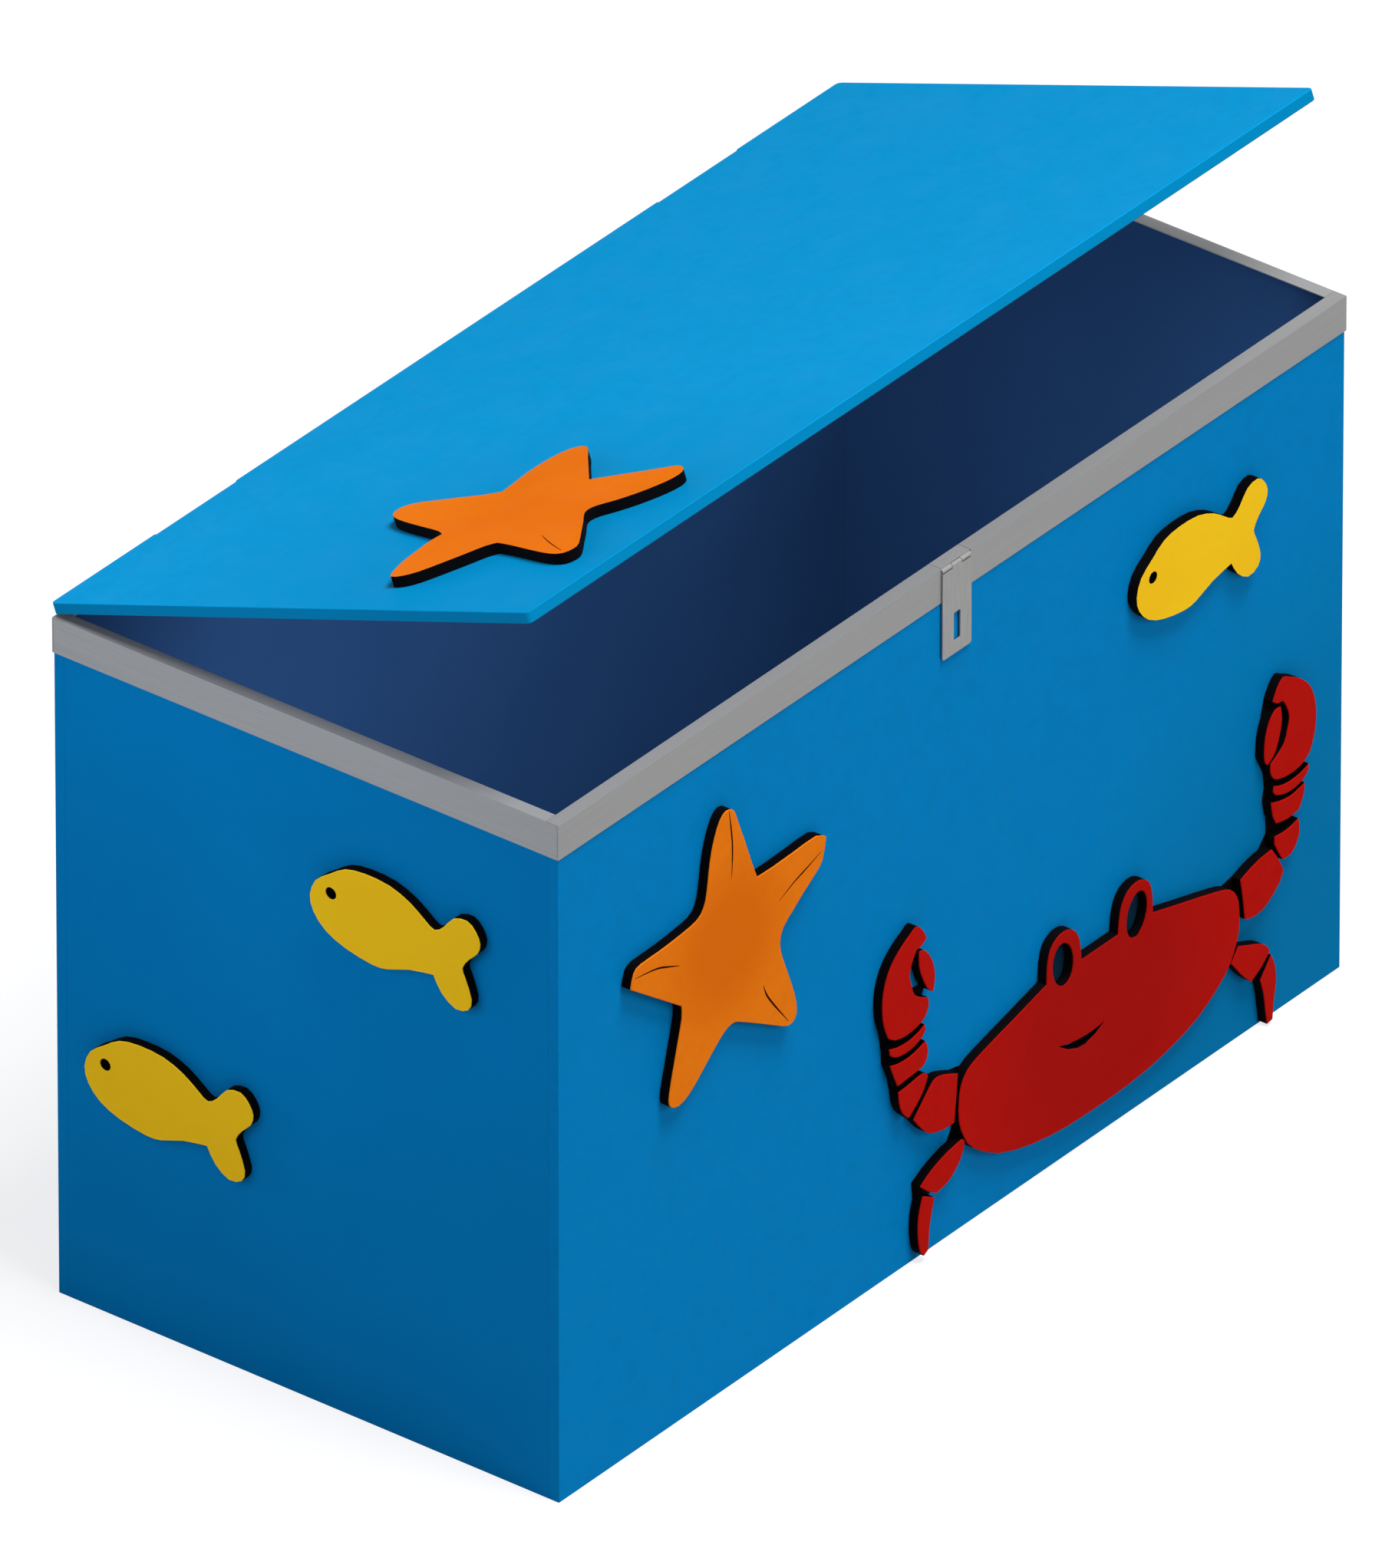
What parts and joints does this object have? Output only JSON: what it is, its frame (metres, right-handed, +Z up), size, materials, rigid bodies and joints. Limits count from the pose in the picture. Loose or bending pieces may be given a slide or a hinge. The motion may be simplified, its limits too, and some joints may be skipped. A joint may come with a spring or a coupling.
{
  "type": "toy chest",
  "caption": "Painted board chest with a hinged lid, a metal edge trim, a slotted front hasp strap and glued-on wooden sea animals.",
  "frame": {"origin": "on the floor, under the middle of the box", "axes": "+X to the right along the front as seen from in front of it, +Y from the front to the hinged back, +Z up"},
  "size_m": [0.9241, 0.4702, 0.7328],
  "materials": {
    "blue_paint": "plywood with a satin bright blue paint",
    "navy_paint": "board with a matt navy paint",
    "grey_metal": "satin grey angle trim",
    "hasp_metal": "satin grey sheet",
    "steel": "bright zinc-plated steel",
    "orange_paint": "cut-out board with a satin orange face and black edges",
    "yellow_paint": "cut-out board with a satin yellow face and black edges",
    "red_paint": "cut-out board with a satin red face and black edges"
  },
  "bodies": {
    "chest": {"front_panel": "blue_paint", "back_panel": "blue_paint", "left_panel": "blue_paint", "right_panel": "blue_paint", "bottom_panel": "navy_paint", "front_batten": "navy_paint", "back_batten": "navy_paint", "left_batten": "navy_paint", "right_batten": "navy_paint", "middle_bearer": "navy_paint", "front_trim": "grey_metal", "back_trim": "grey_metal", "left_trim": "grey_metal", "right_trim": "grey_metal", "hasp_leaf": "hasp_metal", "hasp_pin": "steel", "hasp_screw_1": "steel", "hasp_screw_2": "steel", "left_hinge_wall_leaf": "steel", "left_hinge_pin": "steel", "left_hinge_wall_screw_1": "steel", "left_hinge_wall_screw_2": "steel", "right_hinge_wall_leaf": "steel", "right_hinge_pin": "steel", "right_hinge_wall_screw_1": "steel", "right_hinge_wall_screw_2": "steel", "front_starfish": "orange_paint", "front_fish": "yellow_paint", "left_upper_fish": "yellow_paint", "left_lower_fish": "yellow_paint", "crab_body": "red_paint", "crab_left_shoulder": "red_paint", "crab_left_forearm": "red_paint", "crab_left_wrist": "red_paint", "crab_left_cuff": "red_paint", "crab_left_claw": "red_paint", "crab_left_thumb": "red_paint", "crab_left_thigh": "red_paint", "crab_left_shin": "red_paint", "crab_right_shoulder": "red_paint", "crab_right_forearm": "red_paint", "crab_right_wrist": "red_paint", "crab_right_cuff": "red_paint", "crab_right_claw": "red_paint", "crab_right_thumb": "red_paint", "crab_right_thigh": "red_paint", "crab_right_shin": "red_paint"},
    "lid": {"lid_panel": "blue_paint", "lid_starfish": "orange_paint", "left_hinge_lid_leaf": "steel", "left_hinge_lid_screw_1": "steel", "left_hinge_lid_screw_2": "steel", "right_hinge_lid_leaf": "steel", "right_hinge_lid_screw_1": "steel", "right_hinge_lid_screw_2": "steel"},
    "strap": {"hasp_strap": "hasp_metal"}
  },
  "joints": [
    {"name": "lid_hinge", "type": "hinge", "parent": "chest", "child": "lid", "pos_m": [0, 0.23075, 0.56925], "axis": [-1, 0, 0], "range_deg": [-19.8, 75]},
    {"name": "hasp_hinge", "type": "hinge", "parent": "chest", "child": "strap", "pos_m": [0, -0.22825, 0.5648], "axis": [-1, 0, 0], "range_deg": [0, 120]}
  ]
}
